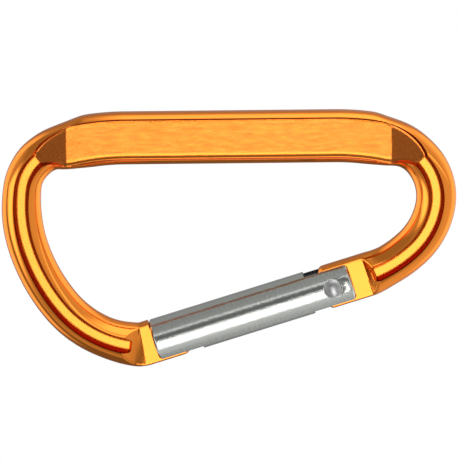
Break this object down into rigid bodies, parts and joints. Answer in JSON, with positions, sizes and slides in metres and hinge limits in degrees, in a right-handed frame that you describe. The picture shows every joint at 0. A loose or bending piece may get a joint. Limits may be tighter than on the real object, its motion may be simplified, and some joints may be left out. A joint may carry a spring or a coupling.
{
  "type": "carabiner",
  "caption": "Small slanted-D carabiner for keys: a pressed aluminium bar frame with a sprung gate hinged on a rivet.",
  "frame": {"origin": "middle of the carabiner's bounding box", "axes": "+X along the spine from the latch end to the hinge end, +Z from the gate up to the spine, Y through the thickness with the front at -Y"},
  "size_m": [0.0802, 0.0078, 0.0458],
  "materials": {
    "orange_anodised_aluminium": "bright-dipped and dyed orange anodising, satin where the dies pressed it",
    "bright_aluminium": "bright drawn, clear",
    "rivet_aluminium": "peened, clear",
    "plunger_steel": "dark turned steel, oiled",
    "spring_steel": "bright spring wire"
  },
  "bodies": {
    "frame_body": {"frame": "orange_anodised_aluminium"},
    "gate_body": {"gate": "bright_aluminium", "hinge_rivet": "rivet_aluminium", "gate_spring": "spring_steel"},
    "plunger_body": {"spring_plunger": "plunger_steel"}
  },
  "joints": [
    {"name": "gate_hinge", "type": "hinge", "parent": "frame_body", "child": "gate_body", "pos_m": [0.01824, 0, -0.00855], "axis": [0, 1, 0], "range_deg": [0, 48], "stiffness_Nm_per_rad": 0.06, "springref_deg": -45.84},
    {"name": "plunger_slide", "type": "slide", "parent": "gate_body", "child": "plunger_body", "axis": [-0.9563, 0, -0.2924], "range_m": [0, 0.0019], "deforming": ["gate_spring"]}
  ],
  "couplings": [
    {"joint": "plunger_slide", "follows": "gate_hinge", "m_per_rad": 0.00225}
  ]
}
